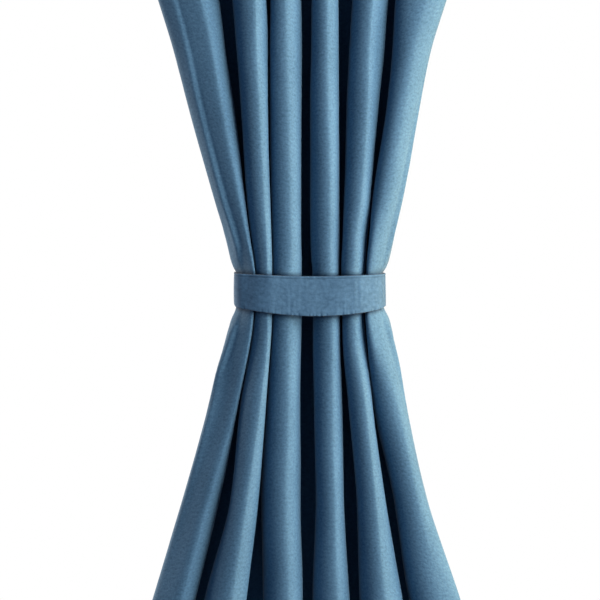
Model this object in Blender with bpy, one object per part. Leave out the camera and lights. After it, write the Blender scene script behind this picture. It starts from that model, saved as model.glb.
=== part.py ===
"""A velvet drape drawn in at the waist by a shaped tieback band.

The panel is one cloth, folded back and forth into six front folds, a to f, with five valleys
between them. It fans out above and below the waist. The band is drawn round the waist and its
ends are lapped at the back. The front is towards -Y, and the origin is the middle of the top
edge, which is the edge that hangs.
"""
import math
from collections import namedtuple

import bmesh
import bpy
import numpy as np

MM = 0.001

# ---- driving sizes, in millimetres ----
FLAT_WIDTH = 1320.0         # finished width of the cloth, laid flat
DROP = 2130.0               # finished length, from the top edge to the hem
CLOTH_THICKNESS = 2.0

BAND_THICKNESS = 3.0
BAND_CLEARANCE = 0.9        # from the folds to the inside of the band
BAND_LAP = 45.0             # how far the band's ends overlap at the back
LAP_RAMP = 30.0             # length over which the outer end climbs on to the inner one
LAP_GAP = 0.5

# Drops of the band's two edges below the top edge of the cloth.
BAND_FRONT_TOP = 1151.5
BAND_FRONT_BOTTOM = 1216.0
BAND_TOP_RISE = 13.0        # how much higher the top edge lies opposite its deepest part
BAND_BOTTOM_RISE = 38.0     # how much higher the bottom edge lies there
BAND_DEEPEST_ACROSS = 16.0  # where across the front the band is deepest
BAND_MIDDLE_DROP = 1180.0   # the drop whose cloth the band is fitted to

# ---- the hanging shape ----
# A row for each level. drop: distance below the top edge.
# roundness, left_roundness, right_roundness: 0 where the folds stand in a straight row, 1 where the
# band rounds the bundle, for all of it and for its two sides.
# tuck: how far a fold narrows behind its front, as a share of its width.
# front_round: the most depth that the left half of a fold's front takes, as a share of the bundle's.
# side_reach: how far the left outline stands behind its crest, as a share of the depth.
# wing, flat: 0 where the left face runs straight forward from the outline, 1 where it runs flat,
# and for how large a share of its width.
# side_return: how far the cloth goes on behind the left outline before it ends.
# crease: how sharp the crests are.
Level = namedtuple("Level", "drop roundness left_roundness right_roundness tuck front_round"
                            " side_reach wing flat side_return crease")
LEVELS = [
    Level(0, 0.00, 0.00, 0.00, 0.00, 0.36, 0.30, 0.3, 0.40, 6, 0.2),
    Level(350, 0.15, 0.10, 0.08, 0.15, 0.36, 0.30, 0.3, 0.40, 6, 0.8),
    Level(702, 0.40, 0.20, 0.20, 0.28, 0.36, 0.38, 0.6, 0.40, 5, 1.0),
    Level(781, 0.50, 0.27, 0.28, 0.29, 0.36, 0.37, 0.55, 0.40, 8, 0.9),
    Level(865, 0.60, 0.36, 0.40, 0.30, 0.36, 0.36, 0.5, 0.40, 13, 0.6),
    Level(1027, 0.80, 0.56, 0.75, 0.31, 0.36, 0.27, 0.55, 0.40, 19.5, 0.3),
    Level(1092, 0.90, 0.80, 0.90, 0.31, 0.36, 0.30, 0.45, 0.40, 13.5, 0.2),
    Level(1130, 0.95, 0.95, 0.95, 0.31, 0.36, 0.43, 0.1, 0.40, 9, 0.1),
    Level(1139, 0.98, 0.98, 0.98, 0.31, 0.36, 0.47, 0.0, 0.40, 10, 0.1),
    Level(1145, 1.00, 1.00, 1.00, 0.31, 0.36, 0.50, 0.0, 0.40, 10, 0.1),
    Level(1197, 1.00, 1.00, 1.00, 0.31, 0.36, 0.50, 0.0, 0.40, 22, 0.1),
    Level(1219, 0.98, 0.96, 0.98, 0.31, 0.36, 0.38, 0.2, 0.40, 29, 0.1),
    Level(1239, 0.95, 0.85, 0.92, 0.31, 0.36, 0.26, 0.5, 0.45, 33.5, 0.1),
    Level(1352, 0.64, 0.25, 0.40, 0.30, 0.38, 0.19, 1.0, 0.55, 50, 0.4),
    Level(1515, 0.46, 0.12, 0.20, 0.28, 0.48, 0.26, 0.9, 0.22, 54, 0.6),
    Level(1677, 0.36, 0.08, 0.12, 0.20, 0.60, 0.40, 0.6, 0.25, 54, 0.5),
    Level(DROP, 0.00, 0.00, 0.00, 0.00, 0.50, 0.25, 0.3, 0.40, 46, 0.0),
]

# The left edge, the crest and the right edge of each front fold, from the middle of the drape.
Edges = namedtuple("Edges", "drop a b c d e f")
EDGES = [
    Edges(0, (-422, -370, -342), (-268, -224, -188), (-114, -74, -36),
          (40, 78, 118), (192, 232, 270), (344, 404, 424)),
    Edges(350, (-341, -272, -232), (-186, -147, -120), (-98, -62, -30),
          (18, 54, 84), (122, 164, 196), (226, 282, 344)),
    Edges(702, (-238, -169, -139), (-118, -81, -63), (-56, -32, -6),
          (11, 34, 55), (78, 108, 136), (147, 190, 229.5)),
    Edges(781, (-213.7, -152, -129), (-111, -79, -60), (-57, -31, -5),
          (10, 35, 55), (73, 104, 130), (142, 175, 203.9)),
    Edges(865, (-190.8, -138, -116), (-104, -75.5, -60), (-57, -29, -5.5),
          (8, 36, 55.5), (69, 101, 121.5), (134, 161, 185.6)),
    Edges(1027, (-145.1, -107, -97), (-94, -67, -56), (-55, -25.5, -6),
          (8, 39, 56), (63, 90, 107), (110, 137, 155.8)),
    Edges(1092, (-126.5, -94, -88), (-87, -63, -54), (-53, -24, -6),
          (9, 39, 56.5), (61, 81, 101.5), (104, 118.5, 142.4)),
    Edges(1130, (-117.5, -85.5, -82), (-81, -62, -53), (-52, -25.5, -5),
          (11, 39, 56), (59, 80, 99.2), (100.2, 113, 133.8)),
    Edges(1139, (-114.5, -84, -81), (-80, -62, -53), (-52, -26, -5),
          (12, 39, 56), (59, 79, 98.8), (99.8, 111, 131)),
    Edges(1145, (-111, -83, -80), (-79, -62, -53), (-52, -27, -5),
          (12, 39, 56), (59, 79, 98.5), (99.5, 110, 127)),
    Edges(1197, (-111, -86, -82), (-81, -62, -53), (-52, -28, -5),
          (13, 41, 57), (60, 79, 97), (99, 110, 127)),
    Edges(1203, (-112, -86, -82), (-81, -62, -53), (-52, -28, -5),
          (13, 41, 57), (60, 79, 97), (98.5, 109, 129)),
    Edges(1219, (-117.5, -87, -83), (-82, -61, -53), (-52, -29, -5),
          (13, 42, 57), (61, 79, 97), (98, 108, 135.8)),
    Edges(1239, (-123.3, -89, -85), (-84, -61, -54), (-53, -28, -5.5),
          (13, 43, 57), (61, 79.5, 98), (99.5, 110.5, 140)),
    Edges(1352, (-152.6, -111, -106), (-104, -72, -62.5), (-61, -28.5, -7.5),
          (15, 43, 60), (70, 96, 109), (110, 146, 161.8)),
    Edges(1515, (-198.5, -158, -139), (-122, -95, -75), (-71.5, -33, -7),
          (17, 47, 64), (84, 114, 131), (145, 181, 199)),
    Edges(1677, (-247, -202, -178), (-164, -120, -95), (-69, -28.5, -3),
          (12, 51, 73), (90, 129, 159.5), (170, 215, 253)),
    Edges(DROP, (-385, -341, -312), (-245, -202, -173), (-100, -62, -33),
          (33, 73, 106), (173, 216, 245), (312, 356, 385)),
]

# back_above, back_at_band, back_below: how far a fold stands behind the foremost one.
# left_above, left_at_band, left_below, right_aspect, right_at_band: how deep each side of its front
# is rounded, for its width.
# crease: how sharp its crest is, for the level's crease. edge: how sharp its right edge is.
Fold = namedtuple("Fold", "name back_above back_at_band back_below left_above left_at_band left_below"
                          " right_aspect right_at_band crease edge")
FOLDS = [
    Fold("a", 14.0, 2.0, 24.0, 1.3, 1.3, 1.3, 1.6, 1.7, 0.7, 0.0),
    Fold("b", 0.0, 1.0, 0.0, 1.1, 1.0, 1.0, 1.05, 1.1, 1.0, 0.8),
    Fold("c", 4.0, 4.0, 6.0, 0.85, 0.9, 1.2, 1.35, 1.3, 0.4, 0.4),
    Fold("d", 7.0, 9.5, 5.0, 1.1, 1.1, 1.1, 1.4, 1.5, 0.5, 0.4),
    Fold("e", 9.0, 8.5, 0.0, 1.2, 1.1, 1.1, 1.3, 1.4, 1.0, 0.6),
    Fold("f", 0.0, 2.0, 6.0, 1.1, 1.1, 1.0, 1.3, 1.3, 0.6, 0.0),
]

# How far each valley stops short of the back.
VALLEY_SET_IN = [5.0, 1.0, 3.0, 0.5, 6.0]

# How far forward the front of the bundle stands across its width where the band rounds it.
Forward = namedtuple("Forward", "across forward")
WAIST_FRONT = [Forward(0, 0), Forward(0.01, 0.56), Forward(0.035, 0.71), Forward(0.09, 0.81),
               Forward(0.135, 0.89), Forward(0.185, 0.955), Forward(0.25, 1), Forward(0.67, 1),
               Forward(0.77, 0.965), Forward(0.84, 0.895), Forward(0.9, 0.755), Forward(0.935, 0.65),
               Forward(0.97, 0.456), Forward(0.99, 0.2), Forward(1, 0)]

FREE_ROUNDNESS = 0.4        # where the bundle is no rounder than this, the folds stand apart
CROSSING_DROP = 1200.0      # behind the band, where the folds change places
RIGHT_ROUND = 0.37          # the most depth the right half of a fold's front takes, as a share of the depth
BACK_ROUND = 0.30           # from a valley's bottom forward to its widest line, likewise
FLANK_LEAST = 8.0           # the least depth between a fold's widest line and its valley's
SIDE_ROUND = 0.28           # from the last crest back to the right outline, likewise
SIDE_SHARE = 0.25           # share of the width over which a side keeps its own roundness
RIGHT_RETURN = 54.0         # how far the cloth goes on behind the right outline
RIGHT_LEAN = 16.0           # how far its right side edge stands in from the outline
RIGHT_LEAN_AT_BAND = 8.0
LEFT_LEAN = 4.0
OUTLINE_CORNER = 20.0       # size of the turn at the left outline
WING_CORNER = 0.55          # share of it that is lost where the left face runs flat
TUCKED_WIDTH_MAX = 70.0     # a wider fold is tucked as if it were this wide
OVAL_POWER = 2.5            # of the oval round the back. 2 is an ellipse, and more is squarer
OVAL_MARGIN = 1.0           # the oval that rounds the bundle passes this far outside its sides

# ---- how finely the surfaces are divided ----
FRONT_STEPS = 3             # along each half of a fold's front
BACK_STEPS = 3              # along each half of a valley
FLANK_STEPS = 2             # between a fold and its valley
LEFT_FACE_STEPS = 4
RIGHT_FACE_STEPS = 4
SIDE_FLANK_STEPS = 2
ROW_SPACING_MAX = 165.0
FINE_FACTOR = 4             # finer steps, for measuring the cloth's true width
BAND_STEP_LENGTH = 14.0     # a column of the band for each such length
BAND_STEP_TURN = 15.0       # and for each such turn, in degrees
OUTLINE_STEPS = 400

# Handle lengths of Bezier curves, as shares of the distance that each curve covers.
QUARTER_HANDLE = 0.5523     # makes a quarter of an ellipse
CREASED_HANDLE = 0.12
EDGE_HANDLE = 0.42
CORNER_HANDLE = 0.28
LEFT_FACE_HANDLES = (0.22, 0.30)
WING_HANDLE = 0.12
RIGHT_FACE_HANDLES = (0.65, 0.50)
FLANK_HANDLE = 0.5
DEPTH_LIMITS = (20.0, 260.0)
DEPTH_HALVINGS = 30

VELVET_BLUE = (0.085, 0.185, 0.300, 1.0)
BAND_BLUE = (0.095, 0.200, 0.315, 1.0)
VELVET_ROUGHNESS = 0.85

BACK = np.array((0.0, 1.0))
FRONT = np.array((0.0, -1.0))
RIGHT = np.array((1.0, 0.0))

LEVEL_DROPS = np.array([level.drop for level in LEVELS], dtype=float)
LEVEL_TABLE = np.array([level[1:] for level in LEVELS], dtype=float)
EDGE_DROPS = np.array([edges.drop for edges in EDGES], dtype=float)
EDGE_TABLE = np.array([np.ravel(edges[1:]) for edges in EDGES], dtype=float)


def clear_scene():
    for thing in list(bpy.data.objects):
        bpy.data.objects.remove(thing, do_unlink=True)


# ---- curves between the rows of a table ----
def slope_at(knots, table, row):
    """Change of each column per step of the knots at a row, flat where a column turns."""
    slopes = np.diff(table, axis=0) / np.diff(knots)[:, None]
    before = slopes[max(row - 1, 0)]
    after = slopes[min(row, len(slopes) - 1)]
    same_way = before * after > 0
    total = np.where(same_way, before + after, 1.0)
    return np.where(same_way, 2 * before * after / total, 0.0)


def smooth_between(knots, table, at):
    """Values at a place between the knots of a table, on curves that never overshoot its rows."""
    row = int(np.clip(np.searchsorted(knots, at) - 1, 0, len(knots) - 2))
    span = knots[row + 1] - knots[row]
    t = (at - knots[row]) / span
    slope, next_slope = (slope_at(knots, table, row + i) for i in (0, 1))
    start = (2 * t**3 - 3 * t**2 + 1) * table[row] + (t**3 - 2 * t**2 + t) * span * slope
    end = (3 * t**2 - 2 * t**3) * table[row + 1] + (t**3 - t**2) * span * next_slope
    return start + end


def smooth_step(value):
    value = np.clip(value, 0, 1)
    return value**2 * (3 - 2 * value)


def between(start, end, share):
    return start + (end - start) * share


# ---- the round of the waist ----
ACROSS = np.array([place.across for place in WAIST_FRONT])
FORWARD_SQUARED = np.array([[place.forward**2] for place in WAIST_FRONT])
FINE_ACROSS = np.linspace(0, 1, 401)
FINE_FORWARD = np.array([math.sqrt(smooth_between(ACROSS, FORWARD_SQUARED, at)[0]) for at in FINE_ACROSS])


def front_height(across):
    """How far forward the front stands at a share of the width, as a share of its half depth."""
    return np.interp(across, FINE_ACROSS, FINE_FORWARD)


def back_height(across):
    return (1 - np.abs(2 * np.clip(across, 0, 1) - 1)**OVAL_POWER) ** (1 / OVAL_POWER)


def waist_height(x, y, left, right):
    """Share of the depth left at each point where the band rounds the bundle."""
    across = (x - left + OVAL_MARGIN) / (right - left + 2 * OVAL_MARGIN)
    return np.where(y < 0, front_height(across), back_height(across))


# ---- curves that a section is made of ----
def bezier(start, start_handle, end_handle, end, steps):
    """Points of a cubic Bezier curve, without its last one."""
    t = np.linspace(0, 1, steps + 1)[:-1, None]
    return ((1 - t)**3 * start + 3 * (1 - t)**2 * t * start_handle
            + 3 * (1 - t) * t**2 * end_handle + t**3 * end)


def quarter(start, start_way, end, end_way, steps, handles=(QUARTER_HANDLE, QUARTER_HANDLE)):
    """A rounded corner between two points whose directions are square to each other."""
    start_reach = abs(np.dot(end - start, start_way))
    end_reach = abs(np.dot(end - start, end_way))
    return bezier(start, start + handles[0] * start_reach * start_way,
                  end - handles[1] * end_reach * end_way, end, steps)


def flank(start, end, way, steps):
    """An S curve between two points, leaving and arriving in the same direction."""
    reach = FLANK_HANDLE * abs(end[1] - start[1])
    return bezier(start, start + reach * way, end - reach * way, end, steps)


def left_side(outline, crest, level, finer):
    """From the cloth's left side edge, round the outline, to the first crest."""
    turn = math.radians(90) * level.wing
    way = np.array((math.sin(turn), -math.cos(turn)))
    edge = outline + np.array((LEFT_LEAN, level.side_return))
    corner = OUTLINE_CORNER * (1 - WING_CORNER * level.wing)
    face = outline + corner * (FRONT + way) / 2
    across, forward = np.abs(crest - face)
    reach = math.cos(turn) * forward + math.sin(turn) * across
    out = between(LEFT_FACE_HANDLES[0], level.flat, level.wing) * reach
    into = (LEFT_FACE_HANDLES[1] + WING_HANDLE * level.wing) * across * (1 - level.crease * FOLDS[0].crease)
    handle = corner * CORNER_HANDLE
    return np.concatenate((
        flank(edge, outline, FRONT, SIDE_FLANK_STEPS * finer),
        bezier(outline, outline + handle * FRONT, face - handle * way, face, finer),
        bezier(face, face + out * way, crest - into * RIGHT, crest, LEFT_FACE_STEPS * finer)))


def right_side(crest, outline, level, finer):
    """From the last crest, round the outline, to the cloth's right side edge."""
    lean = between(RIGHT_LEAN, RIGHT_LEAN_AT_BAND, level.roundness)
    edge = outline + np.array((-lean, RIGHT_RETURN))
    start = between(RIGHT_FACE_HANDLES[0], CREASED_HANDLE, level.crease * FOLDS[-1].crease)
    return np.concatenate((
        quarter(crest, RIGHT, outline, BACK, RIGHT_FACE_STEPS * finer, (start, RIGHT_FACE_HANDLES[1])),
        flank(outline, edge, BACK, SIDE_FLANK_STEPS * finer), edge[None]))


def edges_beside(i, is_below, level, folds, crests, depth):
    """How far back the widest lines on both sides of a valley lie: its left fold's and the next one's."""
    fold, next_fold = FOLDS[i], FOLDS[i + 1]
    apart = min((1 - level.roundness) / (1 - FREE_ROUNDNESS), 1)
    aspect = between(fold.right_aspect, fold.right_at_band, level.roundness**2)
    far_aspect = next_fold.left_below if is_below else next_fold.left_above
    next_aspect = between(next_fold.left_at_band, far_aspect, apart**2)
    here = min(aspect * (folds[i][2] - folds[i][1]), RIGHT_ROUND * depth)
    there = min(next_aspect * (folds[i + 1][1] - folds[i + 1][0]), level.front_round * depth)
    furthest = (0.5 - BACK_ROUND) * depth - FLANK_LEAST
    return min(crests[i][1] + here, furthest), min(crests[i + 1][1] + there, furthest)


def cloth_section(drop, depth, finer=1):
    """The front face of the cloth at one drop, from its left side edge to its right one."""
    level = Level(drop, *smooth_between(LEVEL_DROPS, LEVEL_TABLE, drop))
    folds = smooth_between(EDGE_DROPS, EDGE_TABLE, drop).reshape(len(FOLDS), 3)
    front, back = -depth / 2, depth / 2
    is_below = drop > CROSSING_DROP
    apart = min((1 - level.roundness) / (1 - FREE_ROUNDNESS), 1)
    crests = []
    for fold, (left, crest, right) in zip(FOLDS, folds):
        far_back = fold.back_below if is_below else fold.back_above
        crests.append(np.array((crest, front + between(fold.back_at_band, far_back, apart))))
    tucked = [level.tuck * min(right - left, TUCKED_WIDTH_MAX) for left, crest, right in folds]
    left_outline = np.array((folds[0][0], crests[0][1] + level.side_reach * depth))
    right_outline = np.array((folds[-1][2], front + SIDE_ROUND * depth))

    parts = [left_side(left_outline, crests[0], level, finer)]
    for i, set_in in enumerate(VALLEY_SET_IN):
        edge_y, next_edge_y = edges_beside(i, is_below, level, folds, crests, depth)
        handles = (between(QUARTER_HANDLE, CREASED_HANDLE, level.crease * FOLDS[i].crease),
                   EDGE_HANDLE * (1 - FOLDS[i].edge))
        fold_edge = np.array((folds[i][2], edge_y))
        next_edge = np.array((folds[i + 1][0], next_edge_y))
        valley_left = np.array((folds[i][2] - tucked[i], back - BACK_ROUND * depth))
        valley_right = np.array((folds[i + 1][0] + tucked[i + 1], back - BACK_ROUND * depth))
        bottom = np.array(((valley_left[0] + valley_right[0]) / 2, back - set_in))
        parts += [quarter(crests[i], RIGHT, fold_edge, BACK, FRONT_STEPS * finer, handles),
                  flank(fold_edge, valley_left, BACK, FLANK_STEPS * finer),
                  quarter(valley_left, BACK, bottom, RIGHT, BACK_STEPS * finer),
                  quarter(bottom, RIGHT, valley_right, FRONT, BACK_STEPS * finer),
                  flank(valley_right, next_edge, FRONT, FLANK_STEPS * finer),
                  quarter(next_edge, FRONT, crests[i + 1], RIGHT, FRONT_STEPS * finer)]
    points = np.concatenate(parts + [right_side(crests[-1], right_outline, level, finer)])

    left, right = folds[0][0], folds[-1][2]
    share = (points[:, 0] - left) / (right - left)
    from_side = smooth_step(np.minimum(share, 1 - share) / SIDE_SHARE)
    at_side = np.where(share < 0.5, level.left_roundness, level.right_roundness)
    roundness = between(at_side, level.roundness, from_side)
    points[:, 1] *= between(1.0, waist_height(points[:, 0], points[:, 1], left, right), roundness)
    return points


def lengths_along(points):
    """How far along a line each of its points lies."""
    return np.concatenate(([0.0], np.cumsum(np.linalg.norm(np.diff(points, axis=0), axis=1))))


def depth_at(drop):
    """Depth of the folds at one drop, such that they take up the whole flat width."""
    low, high = DEPTH_LIMITS
    for _ in range(DEPTH_HALVINGS):
        middle = (low + high) / 2
        if lengths_along(cloth_section(drop, middle, FINE_FACTOR))[-1] < FLAT_WIDTH:
            low = middle
        else:
            high = middle
    return (low + high) / 2


def row_drops():
    """Every level and row of edges, with evenly spaced rows put in where two lie far apart."""
    given = sorted({*LEVEL_DROPS, *EDGE_DROPS})
    drops = []
    for upper, lower in zip(given[:-1], given[1:]):
        steps = math.ceil((lower - upper) / ROW_SPACING_MAX)
        drops += list(np.linspace(upper, lower, steps + 1)[:-1])
    return drops + [given[-1]]


def make_material(name, colour):
    material = bpy.data.materials.new(name)
    material.use_nodes = True
    shader = material.node_tree.nodes["Principled BSDF"]
    shader.inputs["Base Color"].default_value = colour
    shader.inputs["Roughness"].default_value = VELVET_ROUGHNESS
    shader.inputs["Metallic"].default_value = 0.0
    return material


def sheet_object(name, rows, thickness, material):
    """A closed sheet whose outer face passes through rows of points in millimetres.

    Rows run from left to right as seen from outside, from the top row down. The thickness is
    added behind the outer face.
    """
    surface = bmesh.new()
    grid = [[surface.verts.new(np.array(point) * MM) for point in row] for row in rows]
    for upper, lower in zip(grid[:-1], grid[1:]):
        for j in range(len(upper) - 1):
            surface.faces.new((upper[j], lower[j], lower[j + 1], upper[j + 1]))
    mesh = bpy.data.meshes.new(name)
    surface.to_mesh(mesh)
    surface.free()
    mesh.materials.append(material)
    mesh.shade_smooth()
    sheet = bpy.data.objects.new(name, mesh)
    bpy.context.scene.collection.objects.link(sheet)
    solidify = sheet.modifiers.new("Thickness", "SOLIDIFY")
    solidify.thickness = thickness * MM
    solidify.offset = -1.0
    solidify.use_even_offset = True
    return sheet


def build_drape_panel():
    rows = [[(x, y, -drop) for x, y in cloth_section(drop, depth_at(drop))] for drop in row_drops()]
    return sheet_object("drape_panel", rows, CLOTH_THICKNESS, make_material("blue_velvet", VELVET_BLUE))


def waist_outline():
    """A closed line round the folds at the waist, from the middle of their back by the left side.

    The cloth's thickness lies outside the folds at the back.
    """
    folds = smooth_between(EDGE_DROPS, EDGE_TABLE, BAND_MIDDLE_DROP)
    left, right = folds[0] - OVAL_MARGIN, folds[-1] + OVAL_MARGIN
    half = max(depth_at(drop) for drop in (BAND_FRONT_TOP, BAND_MIDDLE_DROP, BAND_FRONT_BOTTOM)) / 2
    across = (1 - np.cos(np.linspace(0, math.pi, OUTLINE_STEPS + 1))) / 2
    x = between(left, right, across)
    front = np.column_stack((x, -half * front_height(across)))
    back = np.column_stack((x, (half + CLOTH_THICKNESS) * back_height(across)))
    middle = OUTLINE_STEPS // 2
    return np.concatenate((back[middle:0:-1], front, back[-2:middle - 1:-1]))


def outwards_of(line):
    """The direction away from the folds at each point of a line round them."""
    ways = np.gradient(line, axis=0)
    ways /= np.linalg.norm(ways, axis=1)[:, None]
    return np.column_stack((ways[:, 1], -ways[:, 0]))


def band_lengths(outline):
    """Lengths along the band at which it has a column, closer together where it turns."""
    travelled = lengths_along(outline)
    girth = travelled[-1]
    ways = np.gradient(outline, axis=0)
    turned = np.unwrap(np.arctan2(ways[:, 1], ways[:, 0]))
    effort = np.abs(np.diff(turned)) / math.radians(BAND_STEP_TURN) + np.diff(travelled) / BAND_STEP_LENGTH
    effort = np.concatenate(([0.0], np.cumsum(effort)))
    lap = np.array((-BAND_LAP / 2, 0.0, girth, girth + BAND_LAP / 2))
    lap_steps = math.ceil(BAND_LAP / 2 / BAND_STEP_LENGTH)
    round_steps = math.ceil(effort[-1])
    middle = np.interp(np.linspace(0, effort[-1], round_steps + 1), effort, travelled)
    return np.concatenate((np.linspace(lap[0], lap[1], lap_steps + 1)[:-1], middle,
                           np.linspace(lap[2], lap[3], lap_steps + 1)[1:]))


def build_tieback_band():
    """The band starts at the back, goes round by the left side and laps over its own start."""
    outline = waist_outline()
    outline = outline + BAND_CLEARANCE * outwards_of(outline)
    travelled = lengths_along(outline)
    girth = travelled[-1]
    lengths = band_lengths(outline)
    inside = np.column_stack([np.interp(lengths % girth, travelled, column) for column in outline.T])
    climb = smooth_step((lengths - (girth - BAND_LAP / 2 - LAP_RAMP)) / LAP_RAMP) * (BAND_THICKNESS + LAP_GAP)
    outside = inside + outwards_of(inside) * (climb[:, None] + BAND_THICKNESS)

    in_front = outline[:, 1] < 0
    deepest = np.interp(BAND_DEEPEST_ACROSS, outline[in_front, 0], travelled[in_front])
    from_deepest = (1 - np.cos(2 * math.pi * (lengths - deepest) / girth)) / 2
    tops = -BAND_FRONT_TOP + BAND_TOP_RISE * from_deepest
    bottoms = -BAND_FRONT_BOTTOM + BAND_BOTTOM_RISE * from_deepest
    rows = [[(*point, z) for point, z in zip(outside, level)] for level in (tops, bottoms)]
    return sheet_object("tieback_band", rows, BAND_THICKNESS, make_material("band_velvet", BAND_BLUE))


def main():
    clear_scene()
    build_drape_panel()
    build_tieback_band()


main()
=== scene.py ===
# %% [markdown]
# # A velvet drape held in by a tieback
# The real thing is one tall length of velvet that hangs in six soft folds, and a shaped band of
# the same cloth that draws them together at the waist. The CAD model already holds both at
# their true sizes. It is loaded first and stays fixed, and everything made below is laid on it.

# %% Load the CAD model
import math
from collections import namedtuple

import bpy
import numpy as np
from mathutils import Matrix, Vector, noise


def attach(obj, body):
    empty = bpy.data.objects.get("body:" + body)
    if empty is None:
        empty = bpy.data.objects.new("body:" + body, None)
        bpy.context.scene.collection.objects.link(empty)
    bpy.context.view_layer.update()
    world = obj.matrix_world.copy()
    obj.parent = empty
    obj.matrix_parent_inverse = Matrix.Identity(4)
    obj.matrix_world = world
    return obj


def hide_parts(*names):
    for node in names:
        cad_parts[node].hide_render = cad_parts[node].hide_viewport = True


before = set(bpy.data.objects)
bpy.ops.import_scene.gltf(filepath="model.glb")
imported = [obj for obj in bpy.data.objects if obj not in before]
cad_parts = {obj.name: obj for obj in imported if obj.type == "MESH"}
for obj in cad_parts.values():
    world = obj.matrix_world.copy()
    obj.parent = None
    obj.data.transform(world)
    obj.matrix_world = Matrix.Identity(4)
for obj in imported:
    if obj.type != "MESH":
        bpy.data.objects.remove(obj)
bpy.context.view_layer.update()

MM = 0.001                      # one millimetre in metres, the unit of the frame

# %% [markdown]
# ## The camera
# The drape is seen square on, at the height of its tieback, through a long lens: a long lens
# keeps the tall folds nearly parallel, as they look from across a room. The view takes in the
# waist and about half a metre of cloth above and below it. The lens follows from how wide the
# view should be at the drape, so it isn't a number to guess.

# %% Place the camera
VIEW_WIDTH = 975 * MM           # width of the view where the drape hangs
VIEW_CENTRE = Vector((-8 * MM, -20 * MM, -1189.75 * MM))
CAMERA_DISTANCE = 4.0           # metres in front of it
SENSOR = 36.0                   # width of the camera's film, in millimetres

camera_data = bpy.data.cameras.new("Camera")
camera_data.sensor_width = SENSOR
camera_data.lens = SENSOR * CAMERA_DISTANCE / VIEW_WIDTH
camera = bpy.data.objects.new("Camera", camera_data)
bpy.context.scene.collection.objects.link(camera)
camera.location = VIEW_CENTRE - Vector((0, CAMERA_DISTANCE, 0))
camera.rotation_euler = (math.radians(90), 0, 0)
bpy.context.scene.camera = camera
print("lens, mm:", round(camera_data.lens, 1))

# %% [markdown]
# ## Colours and nodes
# A hex colour is written the way a screen shows it. Blender mixes light in linear values, so
# one function turns each hex colour to linear. A second one adds a shader node, sets what is
# the same all over, and links what another node works out.

# %% Two small helpers
def linear(hex_colour):
    """An sRGB hex colour such as "#527795" as a linear colour with an alpha of 1."""
    channels = [int(hex_colour[i:i + 2], 16) / 255 for i in (1, 3, 5)]
    return tuple(c / 12.92 if c <= 0.04045 else ((c + 0.055) / 1.055) ** 2.4 for c in channels) + (1.0,)


def add_node(tree, kind, inputs=None, **settings):
    """A node with its settings. An input is a plain value, or the output socket that feeds it."""
    node = tree.nodes.new(kind)
    for name, value in settings.items():
        setattr(node, name, value)
    for socket, value in (inputs or {}).items():
        if isinstance(value, bpy.types.NodeSocket):
            tree.links.new(value, node.inputs[socket])
        else:
            node.inputs[socket].default_value = value
    return node


print("mid grey as light:", round(linear("#808080")[0], 3))

# %% [markdown]
# ## The studio's surround
# The room is plain and white, as for a catalogue. A white surround that also lit the cloth would
# fill the gaps between the folds, which have to stay dark. So the surround is split: the camera
# sees white, and the cloth gets only a little bluish light from it, as from an open room.

# %% White to look at, dim to light with
scene = bpy.context.scene
scene.view_settings.view_transform = "Standard"
scene.world = bpy.data.worlds.new("studio")
scene.world.use_nodes = True
tree = scene.world.node_tree
tree.nodes.clear()
SURROUND_LIGHT = 0.20
light_path = add_node(tree, "ShaderNodeLightPath")
seen = add_node(tree, "ShaderNodeBackground", {"Color": linear("#FFFFFF"), "Strength": 1.0})
lighting = add_node(tree, "ShaderNodeBackground",
                    {"Color": linear("#AAD1FF"), "Strength": SURROUND_LIGHT})
# Both shaders of a mix have the same name, so its sockets go by number: factor, first, second.
mixed = add_node(tree, "ShaderNodeMixShader",
                 {0: light_path.outputs["Is Camera Ray"], 1: lighting.outputs[0], 2: seen.outputs[0]})
add_node(tree, "ShaderNodeOutputWorld", {"Surface": mixed.outputs[0]})
print("surround lights at", SURROUND_LIGHT)

# %% [markdown]
# ## Soft lamps
# Side light is what shows that each fold is round, because one flank is lit and the other falls
# into shade. One large lamp, in front and to the right, does most of the work. A narrower warm
# one beside the drape lights the outer right edge. A weak one, behind and to the left, draws the
# left outline, and another behind keeps the back from going black. All are large panels, as a
# small lamp would draw hard shadows that soft cloth in a bright room doesn't have.

# %% Hang the lamps
Lamp = namedtuple("Lamp", "name azimuth distance height width tall power colour")
# azimuth: degrees from the camera's side towards the right. height: above the waist.
LAMPS = [
    Lamp("key_lamp", 60, 3.2, 0.9, 3.0, 3.6, 283, "#FFFCF5"),
    Lamp("warm_lamp", 88, 2.8, 0.4, 1.5, 2.6, 88, "#FFC74A"),
    Lamp("left_lamp", -115, 2.2, 0.5, 1.5, 2.6, 72, "#FFEDDE"),
    Lamp("back_lamp", 180, 2.5, 0.3, 2.0, 2.0, 60, "#FFFFFF"),
]
WAIST = Vector((0, 0, -1.18))   # what every lamp is turned to
for lamp in LAMPS:
    data = bpy.data.lights.new(lamp.name, "AREA")
    data.shape = "RECTANGLE"
    data.size, data.size_y = lamp.width, lamp.tall
    data.energy = lamp.power
    data.color = linear(lamp.colour)[:3]
    light = bpy.data.objects.new(lamp.name, data)
    scene.collection.objects.link(light)
    turn = math.radians(lamp.azimuth)
    way_out = Vector((math.sin(turn) * lamp.distance, -math.cos(turn) * lamp.distance, lamp.height))
    light.location = WAIST + way_out
    light.rotation_euler = (light.location - WAIST).to_track_quat("Z", "Y").to_euler()
print("lamps:", [lamp.name for lamp in LAMPS])

# %% [markdown]
# ## The floor
# The drape is floor length, so a pale floor lies a few millimetres under its hem, where it
# catches the shadow. It is a single disc, far larger than the drape, so that its rim stays out
# of the way. It throws no light up into the folds, which a real white floor would, but a real
# room has furniture and carpet that take that light away.

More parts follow.
